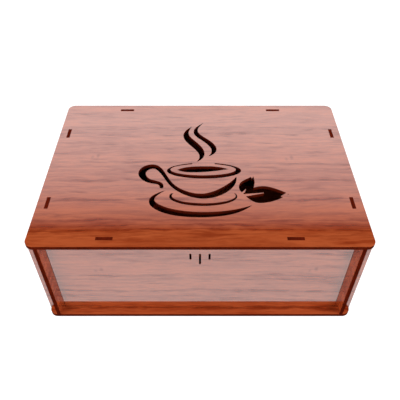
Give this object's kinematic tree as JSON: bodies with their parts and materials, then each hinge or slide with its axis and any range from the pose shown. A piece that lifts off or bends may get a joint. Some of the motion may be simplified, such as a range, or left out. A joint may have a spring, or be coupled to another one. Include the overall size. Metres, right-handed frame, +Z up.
{
  "type": "tea bag drawer box",
  "caption": "Flat laser-cut wooden box with a steaming cup cut through its top and a divided tea bag drawer that slides out of its front.",
  "frame": {"origin": "middle of the base panel's underside, which the box stands on", "axes": "+X to the right seen from the front, +Y to the back, +Z up; the drawer opens towards -Y"},
  "size_m": [0.25, 0.175, 0.0905],
  "materials": {
    "case_wood": "glossy lacquer over red-brown wood, burnt cut edges",
    "front_wood": "glossy lacquer over red-brown wood, burnt cut edges",
    "inner_wood": "satin lacquer over red-brown wood, burnt cut edges"
  },
  "bodies": {
    "case": {"base_panel": "case_wood", "top_panel": "case_wood", "left_side_panel": "case_wood", "right_side_panel": "case_wood", "back_panel": "case_wood", "front_frame": "case_wood", "left_drawer_guide": "inner_wood", "right_drawer_guide": "inner_wood"},
    "drawer": {"drawer_front": "front_wood", "drawer_inner_front": "inner_wood", "drawer_back": "inner_wood", "drawer_left_side": "inner_wood", "drawer_right_side": "inner_wood", "drawer_bottom": "inner_wood", "long_divider": "inner_wood", "left_cross_divider": "inner_wood", "right_cross_divider": "inner_wood"}
  },
  "joints": [
    {"name": "drawer_slide", "type": "slide", "parent": "case", "child": "drawer", "axis": [0, -1, 0], "range_m": [0, 0.15]}
  ]
}
